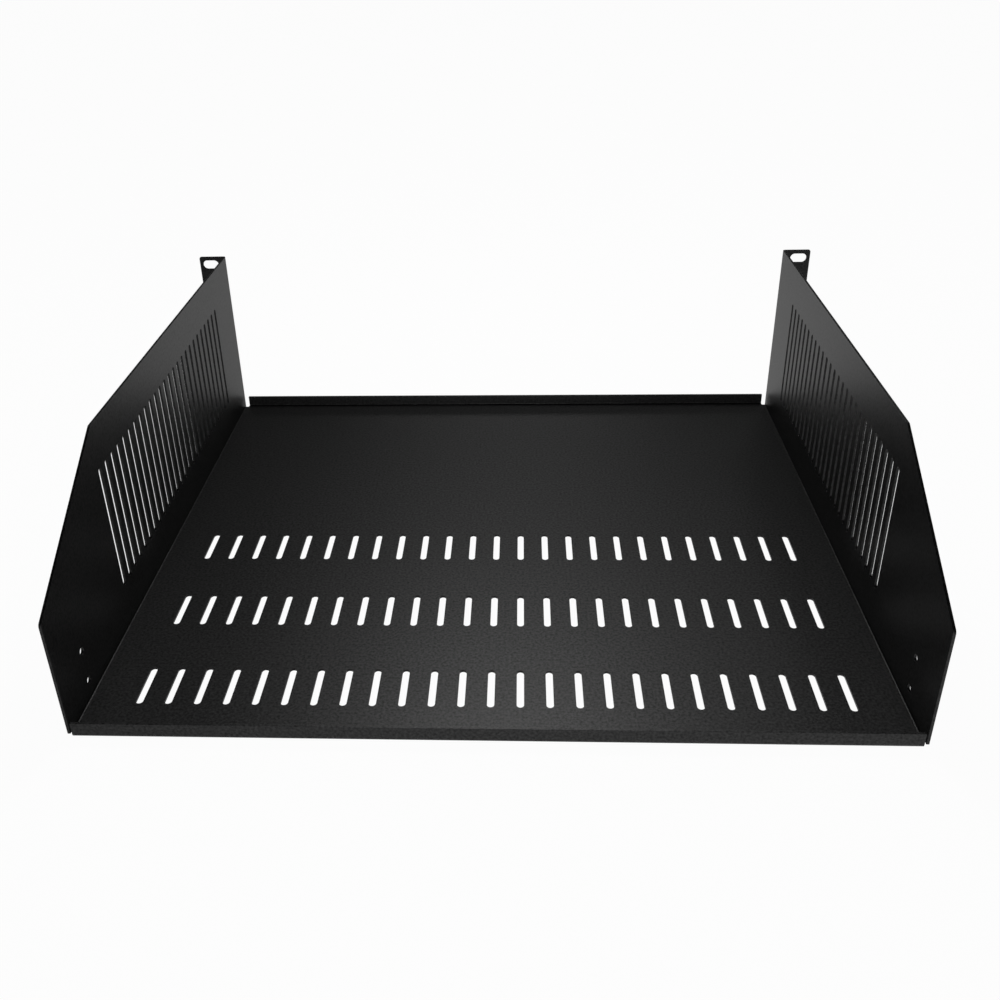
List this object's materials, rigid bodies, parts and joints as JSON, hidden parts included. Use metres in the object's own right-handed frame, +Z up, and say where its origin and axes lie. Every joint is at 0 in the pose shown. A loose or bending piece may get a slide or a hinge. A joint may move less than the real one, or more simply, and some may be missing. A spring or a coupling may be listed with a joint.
{
  "type": "cantilever rack shelf",
  "caption": "Cantilever rack shelf folded from one black steel sheet, with tall side walls that slope to the nose, slotted rack ears, low end lips and vent slots.",
  "frame": {"origin": "on the underside, midway between the ears' edges and midway between the ears' outer faces and the nose lip", "axes": "+X across the rack, +Y towards the rack's front, where the ears' outer faces look, +Z up"},
  "size_m": [0.4826, 0.4, 0.1333],
  "materials": {
    "black_powder_coat": "fine-grained satin black powder coat over sheet steel, on every face and cut edge"
  },
  "bodies": {
    "root": {"folded_shelf": "black_powder_coat"}
  },
  "joints": []
}
